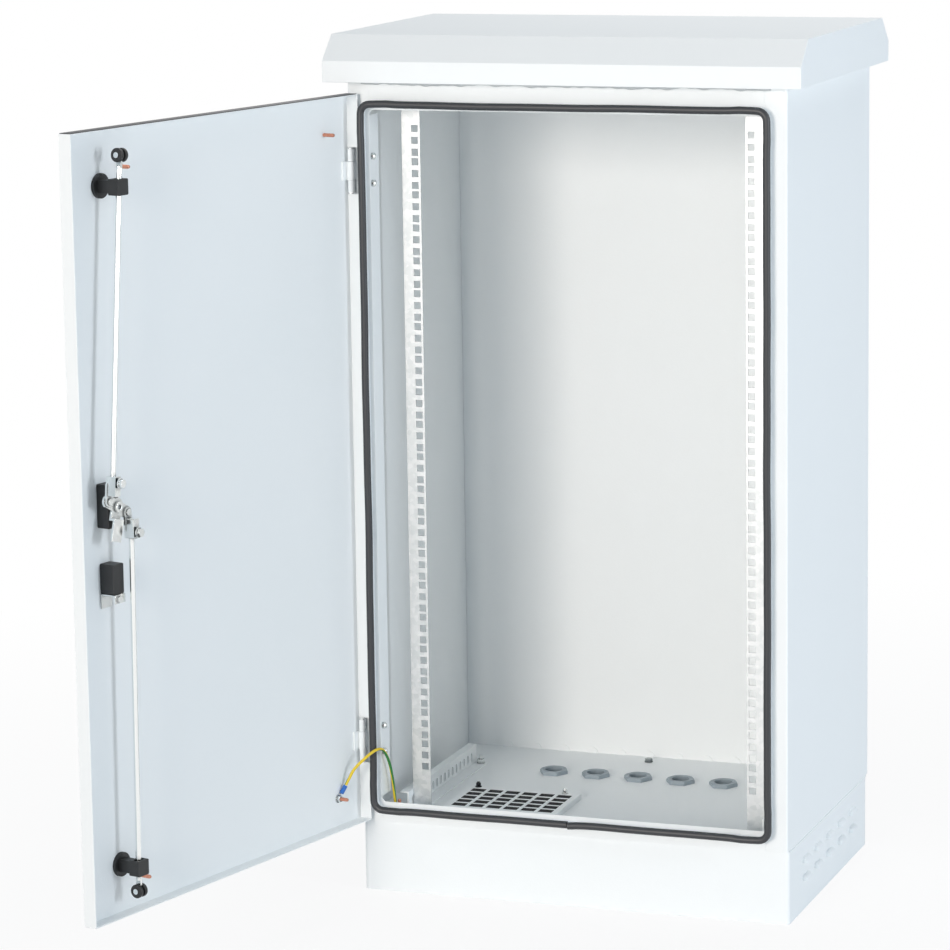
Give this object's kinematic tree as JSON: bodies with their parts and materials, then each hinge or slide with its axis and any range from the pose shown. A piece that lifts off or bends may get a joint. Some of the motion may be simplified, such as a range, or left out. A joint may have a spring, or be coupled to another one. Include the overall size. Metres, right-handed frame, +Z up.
{
  "type": "roadside utility cabinet",
  "caption": "Floor-standing outdoor equipment cabinet with plinth, sloped rain hood, rack rails, cable glands and an open hinged door with a rod latch.",
  "frame": {"origin": "on the ground under the middle of the plinth", "axes": "+X right, +Y to the rear, +Z up; the door opening faces -Y"},
  "size_m": [0.7822, 1.0233, 1.167],
  "materials": {
    "plinth": "powder coat",
    "plinth_bolts": "zinc plated",
    "side_panel_left": "powder coat",
    "side_panel_right": "powder coat",
    "stile_lips": "powder coat",
    "rear_panel": "powder coat",
    "roof_panel": "powder coat",
    "floor_panel": "powder coat",
    "front_header": "powder coat",
    "front_sill": "powder coat",
    "seal_rim": "powder coat",
    "door_gasket": "matt",
    "roof_hood": "powder coat",
    "hood_sealant": "matt",
    "hood_spacers": "zinc plated",
    "hood_bolts": "zinc plated",
    "rack_rail_left": "zinc plated",
    "rack_rail_right": "zinc plated",
    "rail_webs": "zinc plated",
    "supports_low": "powder coat",
    "supports_top": "powder coat",
    "rail_bolts": "zinc plated",
    "vent_grille": "powder coat",
    "filter_mat": "matt",
    "grille_nuts": "zinc plated",
    "cable_glands": "matt",
    "gland_locknuts": "matt",
    "hinge_frame_leaves": "zinc plated",
    "hinge_pins": "zinc plated",
    "hinge_screws": "zinc plated",
    "hinge_door_leaves": "zinc plated",
    "earth_stud": "copper plated",
    "earth_lug_floor": "matt",
    "earth_lug_door": "matt",
    "earth_nut_door": "zinc plated",
    "earth_wire": "satin",
    "door_panel": "powder coat",
    "door_studs": "copper plated",
    "lock_housing": "matt",
    "catch_block": "matt",
    "catch_bracket": "zinc plated",
    "handle_plate": "matt",
    "lock_cylinder": "zinc plated",
    "lock_plug": "copper plated",
    "rod_guides": "matt",
    "latch_spindle": "zinc plated",
    "latch_cam": "zinc plated",
    "cam_screw": "zinc plated",
    "handle_hub": "matt",
    "lever_pin": "zinc plated",
    "handle_lever": "matt",
    "upper_rod": "zinc plated",
    "lower_rod": "zinc plated",
    "upper_clamp": "zinc plated",
    "lower_clamp": "zinc plated",
    "upper_clamp_screw": "zinc plated",
    "lower_clamp_screw": "zinc plated",
    "upper_roller": "matt",
    "lower_roller": "matt"
  },
  "bodies": {
    "cabinet": {"plinth": "plinth", "plinth_bolts": "plinth_bolts", "side_panel_left": "side_panel_left", "side_panel_right": "side_panel_right", "stile_lips": "stile_lips", "rear_panel": "rear_panel", "roof_panel": "roof_panel", "floor_panel": "floor_panel", "front_header": "front_header", "front_sill": "front_sill", "seal_rim": "seal_rim", "door_gasket": "door_gasket", "roof_hood": "roof_hood", "hood_sealant": "hood_sealant", "hood_spacers": "hood_spacers", "hood_bolts": "hood_bolts", "rack_rail_left": "rack_rail_left", "rack_rail_right": "rack_rail_right", "rail_webs": "rail_webs", "supports_low": "supports_low", "supports_top": "supports_top", "rail_bolts": "rail_bolts", "vent_grille": "vent_grille", "filter_mat": "filter_mat", "grille_nuts": "grille_nuts", "cable_glands": "cable_glands", "gland_locknuts": "gland_locknuts", "hinge_frame_leaves": "hinge_frame_leaves", "hinge_pins": "hinge_pins", "hinge_screws": "hinge_screws", "earth_stud": "earth_stud", "earth_lug_floor": "earth_lug_floor", "earth_wire": "earth_wire"},
    "door": {"hinge_door_leaves": "hinge_door_leaves", "earth_lug_door": "earth_lug_door", "earth_nut_door": "earth_nut_door", "door_panel": "door_panel", "door_studs": "door_studs", "lock_housing": "lock_housing", "catch_block": "catch_block", "catch_bracket": "catch_bracket", "handle_plate": "handle_plate", "lock_cylinder": "lock_cylinder", "rod_guides": "rod_guides"},
    "latch": {"latch_spindle": "latch_spindle", "latch_cam": "latch_cam", "cam_screw": "cam_screw", "handle_hub": "handle_hub", "lever_pin": "lever_pin"},
    "lever": {"handle_lever": "handle_lever"},
    "upper_rod": {"upper_rod": "upper_rod", "upper_clamp": "upper_clamp", "upper_clamp_screw": "upper_clamp_screw"},
    "lower_rod": {"lower_rod": "lower_rod", "lower_clamp": "lower_clamp", "lower_clamp_screw": "lower_clamp_screw"},
    "upper_roller": {"upper_roller": "upper_roller"},
    "lower_roller": {"lower_roller": "lower_roller"},
    "key_plug": {"lock_plug": "lock_plug"}
  },
  "joints": [
    {"name": "door_hinge", "type": "hinge", "parent": "cabinet", "child": "door", "pos_m": [-0.2925, -0.227, 0.6], "axis": [0, 0, -1], "range_deg": [-104, 16], "deforming": ["earth_wire"]},
    {"name": "latch_turn", "type": "hinge", "parent": "door", "child": "latch", "pos_m": [-0.42812, -0.73993, 0.627], "axis": [0.9703, -0.2419, 0], "range_deg": [-80, 0]},
    {"name": "handle_lift", "type": "hinge", "parent": "latch", "child": "lever", "pos_m": [-0.44898, -0.73473, 0.627], "axis": [0.042, 0.1685, 0.9848], "range_deg": [0, 35]},
    {"name": "upper_rod_swing", "type": "hinge", "parent": "latch", "child": "upper_rod", "pos_m": [-0.4091, -0.76287, 0.63639], "axis": [0.9703, -0.2419, 0], "range_deg": [-2, 86]},
    {"name": "lower_rod_swing", "type": "hinge", "parent": "latch", "child": "lower_rod", "pos_m": [-0.40056, -0.7286, 0.61761], "axis": [0.9703, -0.2419, 0], "range_deg": [-2, 86]},
    {"name": "upper_roller_spin", "type": "hinge", "parent": "upper_rod", "child": "upper_roller", "pos_m": [-0.39499, -0.73107, 1.0583], "axis": [0.2411, 0.9671, -0.081], "continuous": true},
    {"name": "lower_roller_spin", "type": "hinge", "parent": "lower_rod", "child": "lower_roller", "pos_m": [-0.39632, -0.73642, 0.1372], "axis": [-0.2419, -0.9702, 0.0137], "continuous": true},
    {"name": "key_turn", "type": "hinge", "parent": "door", "child": "key_plug", "pos_m": [-0.43297, -0.73872, 0.536], "axis": [0.9703, -0.2419, 0], "range_deg": [0, 90]}
  ],
  "couplings": [
    {"joint": "upper_rod_swing", "follows": "latch_turn", "ratio": -1.044},
    {"joint": "lower_rod_swing", "follows": "latch_turn", "ratio": -1.0385}
  ]
}
